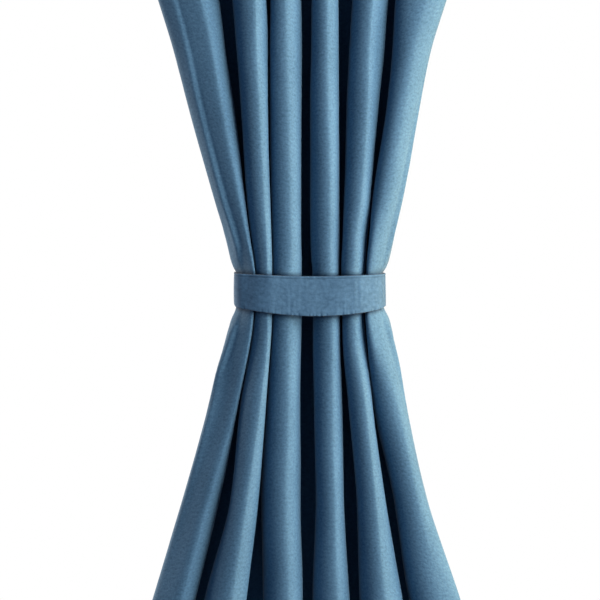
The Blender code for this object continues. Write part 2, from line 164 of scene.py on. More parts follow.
# %% Pale floor
FLOOR_DROP = 2136 * MM
FLOOR_RADIUS = 2.6
bpy.ops.object.select_all(action="DESELECT")
bpy.ops.mesh.primitive_circle_add(vertices=96, radius=FLOOR_RADIUS, fill_type="NGON",
                                  location=(0, 0, -FLOOR_DROP))
floor = bpy.context.object
floor.name = "floor"
bpy.ops.object.transform_apply(location=True, rotation=True, scale=True)
paint = bpy.data.materials.new("painted_floor")
paint.use_nodes = True
paint_shader = paint.node_tree.nodes["Principled BSDF"]
paint_shader.inputs["Base Color"].default_value = linear("#ECEBE8")
paint_shader.inputs["Roughness"].default_value = 0.9
floor.data.materials.append(paint)
floor.visible_diffuse = False
print("floor is", round(-FLOOR_DROP, 3), "m from the top edge")

# %% [markdown]
# ## The folds in numbers
# The drape is one flat cloth folded back and forth. Its folds could be pushed about by hand or
# left to a simulation, but a drape in a room has settled into one exact shape. So the folds are
# given in short tables, a row for each height that matters, and everything between the rows
# runs on smooth curves. All of these sizes are in millimetres. A drop is measured down from the
# top edge, x to the right from the middle and y towards the back.

# %% Sizes of the cloth
FLAT_WIDTH = 1320.0
DROP = 2130.0
CLOTH_THICKNESS = 2.0
BAND_MIDDLE_DROP = 1180.0
print("flat cloth, square metres:", round(FLAT_WIDTH * DROP * MM * MM, 2))

# %% [markdown]
# ## How the bundle changes on its way down
# At the top and at the hem the folds hang side by side in a flat row. Towards the band they are
# squeezed into a round bundle, and what is wide and soft above turns narrow and creased. Each
# row of this table is one height, and its columns say how far that has gone.

# %% Table of the levels
# roundness, left_roundness, right_roundness: 1 where the band rounds the bundle, and its two sides.
# tuck: how far a fold narrows behind its face, as a share of its width.
# front_round: the most depth that a rounded face may take, as a share of the whole depth.
# side_reach: how far the left outline stands behind its crest, as a share of the depth.
# wing, flat: 0 where the left face runs straight forward from the outline, 1 where it runs flat,
# and for how large a share of its width.
# side_return: how far the cloth goes on behind the left outline before it ends.
# crease: how sharp the crests are.
Level = namedtuple("Level", "drop roundness left_roundness right_roundness tuck front_round"
                            " side_reach wing flat side_return crease")
LEVELS = [
    Level(0, 0.00, 0.00, 0.00, 0.00, 0.36, 0.30, 0.3, 0.40, 6, 0.2),
    Level(350, 0.15, 0.10, 0.08, 0.15, 0.36, 0.30, 0.3, 0.40, 6, 0.8),
    Level(702, 0.40, 0.20, 0.20, 0.28, 0.36, 0.38, 0.6, 0.40, 5, 1.0),
    Level(781, 0.50, 0.27, 0.28, 0.29, 0.36, 0.37, 0.55, 0.40, 8, 0.9),
    Level(865, 0.60, 0.36, 0.40, 0.30, 0.36, 0.36, 0.5, 0.40, 13, 0.6),
    Level(1027, 0.80, 0.56, 0.75, 0.31, 0.36, 0.27, 0.55, 0.40, 19.5, 0.3),
    Level(1092, 0.90, 0.80, 0.90, 0.31, 0.36, 0.30, 0.45, 0.40, 13.5, 0.2),
    Level(1130, 0.95, 0.95, 0.95, 0.31, 0.36, 0.43, 0.1, 0.40, 9, 0.1),
    Level(1139, 0.98, 0.98, 0.98, 0.31, 0.36, 0.47, 0.0, 0.40, 10, 0.1),
    Level(1145, 1.00, 1.00, 1.00, 0.31, 0.36, 0.50, 0.0, 0.40, 10, 0.1),
    Level(1197, 1.00, 1.00, 1.00, 0.31, 0.36, 0.50, 0.0, 0.40, 22, 0.1),
    Level(1219, 0.98, 0.96, 0.98, 0.31, 0.36, 0.38, 0.2, 0.40, 29, 0.1),
    Level(1239, 0.95, 0.85, 0.92, 0.31, 0.36, 0.26, 0.5, 0.45, 33.5, 0.1),
    Level(1352, 0.64, 0.25, 0.40, 0.30, 0.38, 0.19, 1.0, 0.55, 50, 0.4),
    Level(1515, 0.46, 0.12, 0.20, 0.28, 0.48, 0.26, 0.9, 0.22, 54, 0.6),
    Level(1677, 0.36, 0.08, 0.12, 0.20, 0.60, 0.40, 0.6, 0.25, 54, 0.5),
    Level(DROP, 0.00, 0.00, 0.00, 0.00, 0.50, 0.25, 0.3, 0.40, 46, 0.0),
]
print("levels:", len(LEVELS))

# %% [markdown]
# ## Where each fold lies
# Six folds face the front, named a to f from the left. At each height a fold has a left edge, a
# crest, which is the part that stands out most, and a right edge. The gap from one fold's right
# edge to the next one's left edge is the mouth of a valley, and where that is narrow it reads
# as a dark line. Most rows are near the band, where the folds change quickly.

# %% Table of the fold edges
# Each fold is (left edge, crest, right edge), from the middle of the drape.
Edges = namedtuple("Edges", "drop a b c d e f")
EDGES = [
    Edges(0, (-422, -370, -342), (-268, -224, -188), (-114, -74, -36),
          (40, 78, 118), (192, 232, 270), (344, 404, 424)),
    Edges(350, (-341, -272, -232), (-186, -147, -120), (-98, -62, -30),
          (18, 54, 84), (122, 164, 196), (226, 282, 344)),
    Edges(702, (-238, -169, -139), (-118, -81, -63), (-56, -32, -6),
          (11, 35, 55), (78, 110, 136), (147, 193, 229.5)),
    Edges(781, (-213.7, -152, -129), (-111, -79, -60), (-57, -31, -5),
          (10, 35, 55), (73, 104, 130), (142, 175, 203.9)),
    Edges(865, (-190.8, -138, -116), (-104, -75.5, -60), (-57, -29, -5.5),
          (8, 36, 55.5), (69, 101, 121.5), (134, 161, 185.6)),
    Edges(1027, (-145.1, -107, -97), (-94, -67, -56), (-55, -25.5, -6),
          (8, 39, 56), (63, 90, 107), (110, 137, 155.8)),
    Edges(1092, (-126.5, -94, -88), (-87, -63, -54), (-53, -24, -6),
          (9, 39, 56.5), (61, 81, 101.5), (104, 118.5, 142.4)),
    Edges(1130, (-117.5, -85.5, -82), (-81, -62, -53), (-52, -25.5, -5),
          (11, 39, 56), (59, 80, 99.2), (100.2, 113, 133.8)),
    Edges(1139, (-114.5, -84, -81), (-80, -62, -53), (-52, -26, -5),
          (12, 39, 56), (59, 79, 98.8), (99.8, 111, 131)),
    Edges(1145, (-111, -83, -80), (-79, -62, -53), (-52, -27, -5),
          (12, 39, 56), (59, 79, 98.5), (99.5, 110, 127)),
    Edges(1197, (-111, -86, -82), (-81, -62, -53), (-52, -28, -5),
          (13, 41, 57), (60, 79, 97), (99, 110, 127)),
    Edges(1203, (-112, -86, -82), (-81, -62, -53), (-52, -28, -5),
          (13, 41, 57), (60, 79, 97), (98.5, 109, 129)),
    Edges(1219, (-117.5, -87, -83), (-82, -61, -53), (-52, -29, -5),
          (13, 42, 57), (61, 79, 97), (98, 108, 135.8)),
    Edges(1239, (-123.3, -89, -85), (-84, -61, -54), (-53, -28, -5.5),
          (13, 43, 57), (61, 79.5, 98), (99.5, 110.5, 140)),
    Edges(1352, (-152.6, -111, -106), (-104, -72, -62.5), (-61, -28.5, -7.5),
          (15, 43, 60), (70, 96, 109), (110, 146, 161.8)),
    Edges(1515, (-198.5, -158, -139), (-122, -95, -75), (-71.5, -33, -7),
          (17, 47, 64), (84, 114, 131), (145, 181, 199)),
    Edges(1677, (-247, -202, -178), (-164, -120, -95), (-69, -28.5, -3),
          (12, 51, 73), (90, 129, 159.5), (170, 215, 253)),
    Edges(DROP, (-385, -341, -312), (-245, -202, -173), (-100, -62, -33),
          (33, 73, 106), (173, 216, 245), (312, 356, 385)),
]
print("rows of fold edges:", len(EDGES))

# %% [markdown]
# ## What makes each fold its own
# Evenly shaped folds would look like a machine's pleats. Here some folds stand a few millimetres
# behind the others, some are rounder, and some have a sharper crest or edge. The outer folds
# have a side of the cloth instead of a valley on one hand, so those places are empty.

# %% Differences between the folds
# back_above, back_at_band, back_below: how far a fold stands behind the foremost one.
# left_above, left_at_band, left_below, right_aspect, right_at_band: how deep each side of its front
# is rounded, for its width.
# crease: how sharp its crest is, for the level's crease. edge: how sharp its right edge is.
Fold = namedtuple("Fold", "name back_above back_at_band back_below left_above left_at_band left_below"
                          " right_aspect right_at_band crease edge")
FOLDS = [
    Fold("a", 14.0, 2.0, 24.0, None, None, None, 1.6, 1.7, 0.7, 0.0),
    Fold("b", 0.0, 1.0, 0.0, 1.1, 1.0, 1.0, 1.05, 1.1, 1.0, 0.8),
    Fold("c", 4.0, 4.0, 6.0, 0.85, 0.9, 1.2, 1.35, 1.3, 0.4, 0.4),
    Fold("d", 7.0, 9.5, 5.0, 1.1, 1.1, 1.1, 1.4, 1.5, 0.5, 0.4),
    Fold("e", 9.0, 8.5, 0.0, 1.2, 1.1, 1.1, 1.3, 1.4, 1.0, 0.6),
    Fold("f", 0.0, 2.0, 6.0, 1.1, 1.1, 1.0, None, None, 0.6, None),
]
VALLEY_SET_IN = [5.0, 1.0, 3.0, 0.5, 6.0]   # how far each valley stops short of the back
CROSSING_DROP = 1200.0          # behind the band, from where the values for below it hold
FREE_ROUNDNESS = 0.4            # where the bundle is no rounder than this, the folds stand apart
print("folds:", [fold.name for fold in FOLDS], "and valleys:", len(VALLEY_SET_IN))

# %% [markdown]
# ## Smooth values between the rows
# Straight lines from row to row would put a kink in the cloth at every row, and ordinary smooth
# curves swing past the values they pass through. A monotone cubic does neither: where the rows
# rise it rises, and where they turn it lies level.

# %% Smooth curves through a table
def between(start, end, share):
    """A value that goes straight from start to end as the share goes from 0 to 1."""
    return start + (end - start) * share


def smooth_between(knots, table, at):
    """Values at a place between the knots of a table, on curves that never overshoot its rows."""
    row = int(np.clip(np.searchsorted(knots, at) - 1, 0, len(knots) - 2))
    slopes = np.diff(table, axis=0) / np.diff(knots)[:, None]

    def slope_at(knot):
        before = slopes[max(knot - 1, 0)]
        after = slopes[min(knot, len(slopes) - 1)]
        same_way = before * after > 0
        total = np.where(same_way, before + after, 1.0)
        return np.where(same_way, 2 * before * after / total, 0.0)

    span = knots[row + 1] - knots[row]
    t = (at - knots[row]) / span
    start = (2 * t**3 - 3 * t**2 + 1) * table[row] + (t**3 - 2 * t**2 + t) * span * slope_at(row)
    end = (3 * t**2 - 2 * t**3) * table[row + 1] + (t**3 - t**2) * span * slope_at(row + 1)
    return start + end


def smooth_step(value):
    """0 below 0, 1 above 1, and an S curve between them."""
    value = np.clip(value, 0, 1)
    return value * value * (3 - 2 * value)


LEVEL_DROPS = np.array([level.drop for level in LEVELS], dtype=float)
LEVEL_TABLE = np.array([level[1:] for level in LEVELS], dtype=float)
EDGE_DROPS = np.array([edges.drop for edges in EDGES], dtype=float)
EDGE_TABLE = np.array([np.ravel(edges[1:]) for edges in EDGES], dtype=float)
waist_edges = smooth_between(EDGE_DROPS, EDGE_TABLE, BAND_MIDDLE_DROP)
print("waist, mm wide:", round(waist_edges[-1] - waist_edges[0]))

# %% [markdown]
# ## The round of the waist
# Seen from above, the band pulls the folds into a long oval. A true ellipse is too pointed at
# its ends for a stack of folds, so the back is a fuller oval, with a higher power. The front is
# uneven, as the outer folds give way more than the inner ones, and has a small table of its own.

# %% How deep the bundle may be across its width
Forward = namedtuple("Forward", "across forward")   # both as shares, from the left outline
WAIST_FRONT = [Forward(0, 0), Forward(0.01, 0.56), Forward(0.035, 0.71), Forward(0.09, 0.81),
               Forward(0.135, 0.89), Forward(0.185, 0.955), Forward(0.25, 1), Forward(0.67, 1),
               Forward(0.77, 0.965), Forward(0.84, 0.895), Forward(0.9, 0.755), Forward(0.935, 0.65),
               Forward(0.97, 0.456), Forward(0.99, 0.2), Forward(1, 0)]
OVAL_POWER = 2.5                # 2 is an ellipse, and more is fuller at its corners
OVAL_MARGIN = 1.0               # how far the oval stands outside the folds at each side
ACROSS = np.array([f.across for f in WAIST_FRONT])
# The curve runs through squares, so that it meets the outline upright, as a round does.
FORWARD_SQUARED = np.array([[f.forward**2] for f in WAIST_FRONT])
FINE_ACROSS = np.linspace(0, 1, 401)
FINE_FORWARD = np.array([smooth_between(ACROSS, FORWARD_SQUARED, at)[0] for at in FINE_ACROSS])


def waist_height(x, y, left, right):
    """Share of the depth left at x where the band rounds the bundle. The back is a plain oval."""
    centre = (left + right) / 2
    half_width = (right - left) / 2 + OVAL_MARGIN
    share = np.clip(np.abs(x - centre) / half_width, 0, 1)
    back = (1 - share**OVAL_POWER) ** (1 / OVAL_POWER)
    across = (x - left + OVAL_MARGIN) / (right - left + 2 * OVAL_MARGIN)
    front = np.sqrt(np.interp(across, FINE_ACROSS, FINE_FORWARD))
    return np.where(y < 0, front, back)


waist_left, waist_right = waist_edges[0], waist_edges[-1]
fifth = between(waist_left, waist_right, 0.2)
depth_there = waist_height(fifth, -1.0, waist_left, waist_right)
print("share of the depth left a fifth of the way across:", round(float(depth_there), 2))

# %% [markdown]
# ## Curves that a cut is made of
# A level cut through the drape is one long wavy line. It is put together from Bezier curves,
# the same curves that Blender's curve tool draws with handles. A quarter turns from one
# direction into another, as round the face of a fold, and a flank runs front to back between
# two faces. Short handles make a quarter creased, and long ones make it full.

# %% Bezier pieces
BACK = np.array((0.0, 1.0))
FRONT = np.array((0.0, -1.0))
RIGHT = np.array((1.0, 0.0))
QUARTER_HANDLE = 0.5523         # the handle that makes a quarter of a true circle
FLANK_HANDLE = 0.5


def bezier(start, start_handle, end_handle, end, steps):
    """Points from the start up to the end, which is left to the next piece."""
    t = np.linspace(0, 1, steps + 1)[:-1, None]
    return ((1 - t)**3 * start + 3 * (1 - t)**2 * t * start_handle
            + 3 * (1 - t) * t**2 * end_handle + t**3 * end)


def quarter(start, start_way, end, end_way, steps, handles=(QUARTER_HANDLE, QUARTER_HANDLE)):
    """A curve that sets off one way and arrives another. The handles are shares of its reach."""
    start_reach = abs(np.dot(end - start, start_way))
    end_reach = abs(np.dot(end - start, end_way))
    return bezier(start, start + handles[0] * start_reach * start_way,
                  end - handles[1] * end_reach * end_way, end, steps)


def flank(start, end, way, steps):
    """A soft S that sets off and arrives the same way."""
    reach = FLANK_HANDLE * abs(end[1] - start[1])
    return bezier(start, start + reach * way, end - reach * way, end, steps)


def lengths_along(points):
    """How far along a line each of its points lies."""
    return np.concatenate(([0.0], np.cumsum(np.linalg.norm(np.diff(points, axis=0), axis=1))))


test_quarter = quarter(np.zeros(2), RIGHT, np.array((1.0, 1.0)), BACK, 60)
print("a quarter circle is", round(lengths_along(test_quarter)[-1], 3), "times its radius long")

# %% [markdown]
# ## One cut: its measures
# All the curves of one cut share the same few measures, such as where the crests stand. They
# are worked out once and handed round together. Near the band the folds are pushed level with
# each other, and away from it each stands at its own distance behind the foremost one.

# %% Measures of one cut
# is_below: whether it is below the band. apart: 0 in the band, 1 where the folds hang free.
Cut = namedtuple("Cut", "level depth is_below apart folds crests")


def cut_at(drop, depth):
    """What the curves of the cut at one drop are drawn from, for folds of this depth."""
    level = Level(drop, *smooth_between(LEVEL_DROPS, LEVEL_TABLE, drop))
    folds = smooth_between(EDGE_DROPS, EDGE_TABLE, drop).reshape(len(FOLDS), 3)
    is_below = drop > CROSSING_DROP
    apart = min((1 - level.roundness) / (1 - FREE_ROUNDNESS), 1)
    crests = []
    for fold, (left, crest, right) in zip(FOLDS, folds):
        far_back = fold.back_below if is_below else fold.back_above
        crests.append(np.array((crest, -depth / 2 + between(fold.back_at_band, far_back, apart))))
    return Cut(level, depth, is_below, apart, folds, crests)


print("crests, mm from the middle at the top:", [round(crest[0]) for crest in cut_at(0.0, 100.0).crests])

# %% [markdown]
# ## The left side of a cut
# The first fold is the odd one: its left face is broad and lies almost flat, like a door ajar,
# and behind its outline the cloth runs back to its side edge. So the curve starts at the side
# edge, comes forward, turns a small corner at the outline and runs in to the first crest.

# %% From the left edge to the first crest
DENSE = 60                      # steps of a curve whose points are spaced out anew afterwards
LEFT_LEAN = 4.0                 # how far in from the outline the side edge lies
OUTLINE_CORNER = 20.0           # size of the corner at the outline
WING_CORNER = 0.55              # how much smaller it is where the face lies flat
CORNER_HANDLE = 0.28
LEFT_FACE_HANDLES = (0.22, 0.30)    # of the face, from the outline and into the crest
WING_HANDLE = 0.12              # how much longer the second is where the face lies flat


def left_side(cut):
    """From the cloth's left side edge, round the outline, to the first crest."""
    level, crest = cut.level, cut.crests[0]
    turn = math.radians(90) * level.wing
    way = np.array((math.sin(turn), -math.cos(turn)))
    outline = np.array((cut.folds[0][0], crest[1] + level.side_reach * cut.depth))
    edge = outline + np.array((LEFT_LEAN, level.side_return))
    corner = OUTLINE_CORNER * (1 - WING_CORNER * level.wing)
    face = outline + corner * (FRONT + way) / 2
    handle = corner * CORNER_HANDLE
    across, forward = np.abs(crest - face)
    out = between(LEFT_FACE_HANDLES[0], level.flat, level.wing)
    out *= math.cos(turn) * forward + math.sin(turn) * across
    into = (LEFT_FACE_HANDLES[1] + WING_HANDLE * level.wing) * across
    into *= 1 - level.crease * FOLDS[0].crease
    return np.concatenate((
        flank(edge, outline, FRONT, DENSE),
        bezier(outline, outline + handle * FRONT, face - handle * way, face, DENSE),
        bezier(face, face + out * way, crest - into * RIGHT, crest, DENSE), crest[None]))


print("left side, mm long at the top:", round(lengths_along(left_side(cut_at(0.0, 100.0)))[-1]))

# %% [markdown]
# ## A valley between two folds
# From one crest the cloth rounds off to the right, runs to the back, turns in a narrow round
# and comes forward to the next crest. A fold is narrower behind its face than at it, as real
# folds are when they are squeezed, which is what makes the mouths of the valleys look deep.

# %% From one crest to the next
FRONT_STEPS = 12                # columns of cloth round a face
FLANK_STEPS = 4
BACK_STEPS = 5                  # round each half of a valley's bottom
BACK_ROUND = 0.30               # depth of a valley's round bottom, as a share of the whole depth
FLANK_LEAST = 8.0               # the least straight cloth between a face and a valley's bottom
RIGHT_ROUND = 0.37              # the most depth that the right half of a face may take, as a share
CREASED_HANDLE = 0.12           # handle at a sharp crest
EDGE_HANDLE = 0.42              # handle at a soft right edge
TUCKED_WIDTH_MAX = 70.0         # a wider fold narrows behind its face no more than one of this width


def tucked(level, left, right):
    """How far a fold narrows behind its face."""
    return level.tuck * min(right - left, TUCKED_WIDTH_MAX)


def valley(cut, number):
    """From the crest of a fold, round its right edge, through the valley and to the next crest."""
    level, depth = cut.level, cut.depth
    fold, next_fold = FOLDS[number:number + 2]
    crest, next_crest = cut.crests[number:number + 2]
    (left, middle, right), (next_left, next_middle, next_right) = cut.folds[number:number + 2]
    side = depth / 2 - BACK_ROUND * depth

    aspect = between(fold.right_aspect, fold.right_at_band, level.roundness**2)
    reach = min(aspect * (right - middle), RIGHT_ROUND * depth, side - FLANK_LEAST - crest[1])
    far_aspect = next_fold.left_below if cut.is_below else next_fold.left_above
    next_aspect = between(next_fold.left_at_band, far_aspect, cut.apart**2)
    next_reach = min(next_aspect * (next_middle - next_left), level.front_round * depth,
                     side - FLANK_LEAST - next_crest[1])
    handles = (between(QUARTER_HANDLE, CREASED_HANDLE, level.crease * fold.crease),
               EDGE_HANDLE * (1 - fold.edge))

    edge = np.array((right, crest[1] + reach))
    next_edge = np.array((next_left, next_crest[1] + next_reach))
    valley_left = np.array((right - tucked(level, left, right), side))
    valley_right = np.array((next_left + tucked(level, next_left, next_right), side))
    bottom = np.array(((valley_left[0] + valley_right[0]) / 2, depth / 2 - VALLEY_SET_IN[number]))
    return np.concatenate((quarter(crest, RIGHT, edge, BACK, FRONT_STEPS, handles),
                           flank(edge, valley_left, BACK, FLANK_STEPS),
                           quarter(valley_left, BACK, bottom, RIGHT, BACK_STEPS),
                           quarter(bottom, RIGHT, valley_right, FRONT, BACK_STEPS),
                           flank(valley_right, next_edge, FRONT, FLANK_STEPS),
                           quarter(next_edge, FRONT, next_crest, RIGHT, FRONT_STEPS)))


print("columns in a valley:", len(valley(cut_at(0.0, 100.0), 0)))

# %% [markdown]
# ## The right side of a cut
# The last fold is broad too, but round: it turns from its crest to the outline in one sweep and
# runs on to the cloth's other side edge, which lies hidden behind it.

# %% From the last crest to the right edge
SIDE_ROUND = 0.28               # how far the outline stands behind the front, as a share of the depth
RIGHT_RETURN = 54.0             # how far the cloth goes on behind the outline
SIDE_LEAN = 16.0                # how far in from the outline the side edge lies
SIDE_LEAN_AT_BAND = 8.0
RIGHT_FACE_HANDLES = (0.65, 0.50)   # from the crest, and into the outline


def right_side(cut):
    """From the last crest, round the outline, to the cloth's right side edge."""
    level, crest = cut.level, cut.crests[-1]
    outline = np.array((cut.folds[-1][2], -cut.depth / 2 + SIDE_ROUND * cut.depth))
    lean = between(SIDE_LEAN, SIDE_LEAN_AT_BAND, level.roundness)
    edge = outline + np.array((-lean, RIGHT_RETURN))
    crease = level.crease * FOLDS[-1].crease
    handles = (between(RIGHT_FACE_HANDLES[0], CREASED_HANDLE, crease), RIGHT_FACE_HANDLES[1])
    return np.concatenate((quarter(crest, RIGHT, outline, BACK, DENSE, handles),
                           flank(outline, edge, BACK, DENSE), edge[None]))


print("right side, mm long at the top:", round(lengths_along(right_side(cut_at(0.0, 100.0)))[-1]))

# %% [markdown]
# ## The whole cut
# The two sides and the five valleys are joined, and near the band the whole line is pressed
# into the round of the waist. Then its points are spaced out. In the valleys each point keeps
# its part of the curve. At the two sides the columns keep a fixed distance from the cloth's
# edge, so that the side hem runs straight down them.

# %% One cut through the cloth
SIDE_SHARE = 0.25               # share of the width over which a side keeps its own roundness
EDGE_COLUMNS = [0, 1, 4, 8, 13, 18, 23, 28, 32, 35, 37.5, 39.5, 41.5, 43.5, 45.5, 47.5, 49.5, 52]
LEFT_STEPS, RIGHT_STEPS = 10, 16    # columns from the last of those to the crest


def rounded(line, cut):
    """The line as the band rounds it."""
    left, right = cut.folds[0][0], cut.folds[-1][2]
    share = (line[:, 0] - left) / (right - left)
    at_side = np.where(share < 0.5, cut.level.left_roundness, cut.level.right_roundness)
    inner_share = smooth_step(np.minimum(share, 1 - share) / SIDE_SHARE)
    roundness = between(at_side, cut.level.roundness, inner_share)
    depth_left = 1 - roundness + roundness * waist_height(*line.T, left, right)
    return np.column_stack((line[:, 0], line[:, 1] * depth_left))


def resampled(line, columns):
    """The points of a line at the given lengths along it."""
    along = lengths_along(line)
    return np.column_stack([np.interp(columns, along, line[:, axis]) for axis in (0, 1)])


def cloth_section(drop, depth):
    """The front face of the cloth at one drop, from its left side edge to its right one."""
    cut = cut_at(drop, depth)
    left, right = rounded(left_side(cut), cut), rounded(right_side(cut), cut)
    middle = rounded(np.concatenate([valley(cut, n) for n in range(len(VALLEY_SET_IN))]), cut)
    left_length, right_length = lengths_along(left)[-1], lengths_along(right)[-1]
    last = EDGE_COLUMNS[-1]
    left_columns = EDGE_COLUMNS + list(np.linspace(last, left_length, LEFT_STEPS + 1)[1:-1])
    right_columns = (list(np.linspace(0, right_length - last, RIGHT_STEPS + 1)[:-1])
                     + [right_length - column for column in EDGE_COLUMNS[::-1]])
    return np.concatenate((resampled(left, left_columns), middle, resampled(right, right_columns)))


print("columns across the cloth:", len(cloth_section(0.0, 100.0)))

# %% [markdown]
# ## How deep the folds are
# Cloth doesn't stretch, so where the drape is narrow its folds are deep. The depth at each
# height is found by halving: a guess is tried, the line is measured, and the half of the range
# that holds the flat width of the cloth is kept. After 26 halvings what is left is far finer
# than a thread.

# %% Find the depth from the flat width
DEPTH_LIMITS = (20.0, 260.0)
DEPTH_HALVINGS = 26


def depth_at(drop):
    """Depth of the folds at one drop, such that they take up the whole flat width."""
    low, high = DEPTH_LIMITS
    for _ in range(DEPTH_HALVINGS):
        middle = (low + high) / 2
        if lengths_along(cloth_section(drop, middle))[-1] < FLAT_WIDTH:
            low = middle
        else:
            high = middle
    return (low + high) / 2


depths = [round(depth_at(drop)) for drop in (0.0, BAND_MIDDLE_DROP)]
print("depth, mm, at the top and in the band:", depths)

# %% [markdown]
# ## Hems
# A hem is the edge of the cloth turned to its back and stitched down. It could be a separate
# strip, but it is the same cloth, so the face is lifted a little where the cloth is doubled and
# drops back over a narrow slope at the seam. Near the band the seam of a side hem is squeezed
# up into a soft ridge, and in the band the hem is pressed flat.

# %% How far a hem stands out
HEM_WIDTH = 42.0                # the side hems
BOTTOM_HEM = 90.0
HEADING = 40.0                  # the hem along the top edge
HEM_PROUD = 2.2                 # how far doubled cloth stands out in front
HEM_STEP = 9.0                  # width of the slope beside it
STITCH_DEPTH = 0.15
STITCH_WIDTH = 1.6
RIDGE_IN, RIDGE_WIDTH = 6.0, 7.0    # the ridge's distance from the seam, and how broad it is
# (drop, how much further the ridge stands out)
SEAM_RIDGE = [(0, 0.0), (702, 0.4), (865, 1.5), (1027, 2.8), (1092, 3.6), (1135, 0.0), (1220, 0.0),
              (1240, 3.6), (1380, 0.0), (DROP, 0.0)]
# (drop, how much less the side hem stands out)
HEM_PRESSED = [(1125, 0.0), (1140, 1.3), (1208, 1.3), (1223, 0.0)]


def doubled_cloth(from_edge, hem):
    """1 inside a hem, 0 outside it."""
    return 1 - smooth_step((from_edge - hem + HEM_STEP / 2) / HEM_STEP)


def one_hem(from_edge, hem, ridge=0.0, proud=HEM_PROUD):
    """How far the face stands out at a distance from a hem's edge, and how far its stitches pull in."""
    doubled = doubled_cloth(from_edge, hem)
    squeezed = np.exp(-((from_edge - hem + RIDGE_IN) / RIDGE_WIDTH) ** 2)
    stitch = np.exp(-((from_edge - hem - HEM_STEP / 2) / STITCH_WIDTH) ** 2)
    return (proud + ridge * squeezed) * doubled, STITCH_DEPTH * stitch


print("a side hem stands out", round(float(one_hem(20.0, HEM_WIDTH)[0]), 1), "mm")

# %% [markdown]
# ## The small unevenness of hanging cloth
# No hanging cloth is as smooth as a curve. Noise at three sizes lifts and lowers the face by up
# to a millimetre or so, longer down the cloth than across it, because the weight pulls it
# straight. In the band it has nowhere to go and almost fades out.

# %% Ripples, and the finished cut
Ripple = namedtuple("Ripple", "size depth")
RIPPLES = [Ripple(110.0, 1.6), Ripple(45.0, 0.6), Ripple(20.0, 0.22)]
RIPPLE_STRETCH = 2.6            # how much longer they are down the cloth
RIPPLE_FREE = 260.0             # distance from the band at which they are full
RIPPLE_LEAST = 0.25             # what is left of them in the band


def ripple(along, drop, size):
    """Noise along one cut, with marks of this size. It fades towards the band."""
    level = np.clip(abs(drop - BAND_MIDDLE_DROP) / RIPPLE_FREE, RIPPLE_LEAST, 1)
    return level * np.array([noise.noise(Vector((u / size, drop / size / RIPPLE_STRETCH, size)))
                             for u in along])


def outwards_of(line):
    """For each point of a line, the direction out of the face of the cloth."""
    ways = np.gradient(line, axis=0)
    ways /= np.linalg.norm(ways, axis=1)[:, None]
    return np.column_stack((ways[:, 1], -ways[:, 0]))


def largest(values, shape):
    """The largest of some values at each place. A value that is the same all over may be one number."""
    return np.maximum.reduce([np.broadcast_to(value, shape) for value in values])


def finished_section(drop, points):
    """The section with its hems standing out and the small unevenness of hanging cloth."""
    along = lengths_along(points)
    ridge = np.interp(drop, *np.transpose(SEAM_RIDGE))
    proud = HEM_PROUD - np.interp(drop, *np.transpose(HEM_PRESSED))
    lifts, stitches = zip(one_hem(along, HEM_WIDTH, ridge, proud),
                          one_hem(along[-1] - along, HEM_WIDTH, ridge, proud),
                          one_hem(DROP - drop, BOTTOM_HEM), one_hem(drop, HEADING))
    lift = largest(lifts, along.shape) - largest(stitches, along.shape)
    for size, depth in RIPPLES:
        lift = lift + depth * ripple(along, drop, size)
    return points + outwards_of(points) * lift[:, None]


print("ripples, mm across:", [size for size, depth in RIPPLES])

# %% [markdown]
# ## Rows down the drape
# A cut at every millimetre would be wasteful. The rows are close where the shape changes
# quickly, which is at the hems' seams and in the band, and far apart where the folds run
# straight.

# %% Rows of the drape
RowZone = namedtuple("RowZone", "start spacing")    # from this drop on, rows this far apart
ROW_ZONES = [RowZone(0, 18), RowZone(36, 2), RowZone(46, 30), RowZone(700, 10), RowZone(1100, 4),
             RowZone(1270, 10), RowZone(1680, 28), RowZone(2034, 2), RowZone(2044, 22)]
row_drops = []
for zone, end in zip(ROW_ZONES, [zone.start for zone in ROW_ZONES[1:]] + [DROP]):
    steps = round((end - zone.start) / zone.spacing)
    row_drops += list(np.linspace(zone.start, end, steps + 1)[:-1])
row_drops = np.array(row_drops + [DROP])
place = np.array([finished_section(drop, cloth_section(drop, depth_at(drop))) for drop in row_drops])
across = np.array([lengths_along(row) for row in place])
rows, columns = place.shape[:2]
print("drape grid:", columns, "columns by", rows, "rows")

# %% [markdown]
# ## Fold a flat grid into the drape
# The cloth starts as a flat grid, as real cloth starts flat, and each of its vertices goes to
# its place in a cut. The same numbers give its UV map: how far across and down the flat cloth a
# vertex lies, in metres. A weave that reads this map follows every fold and never stretches.

# %% Grids and their UV maps
def add_grid(name, columns, rows):
    """A flat grid, and the column and the row that each of its vertices lies in."""
    bpy.ops.object.select_all(action="DESELECT")
    bpy.ops.mesh.primitive_grid_add(x_subdivisions=columns - 1, y_subdivisions=rows - 1, size=1)
    piece = bpy.context.object
    piece.name = name
    flat = np.array([vertex.co for vertex in piece.data.vertices])
    column_of = np.rint((flat[:, 0] + 0.5) * (columns - 1)).astype(int)
    row_of = np.rint((0.5 - flat[:, 1]) * (rows - 1)).astype(int)
    return piece, column_of, row_of


def set_uv(piece, cloth_places):
    """Make each vertex's place on the flat cloth, in metres, the piece's UV map."""
    corner_vertex = np.zeros(len(piece.data.loops), int)
    piece.data.loops.foreach_get("vertex_index", corner_vertex)
    piece.data.uv_layers.active.data.foreach_set("uv", cloth_places[corner_vertex].ravel())


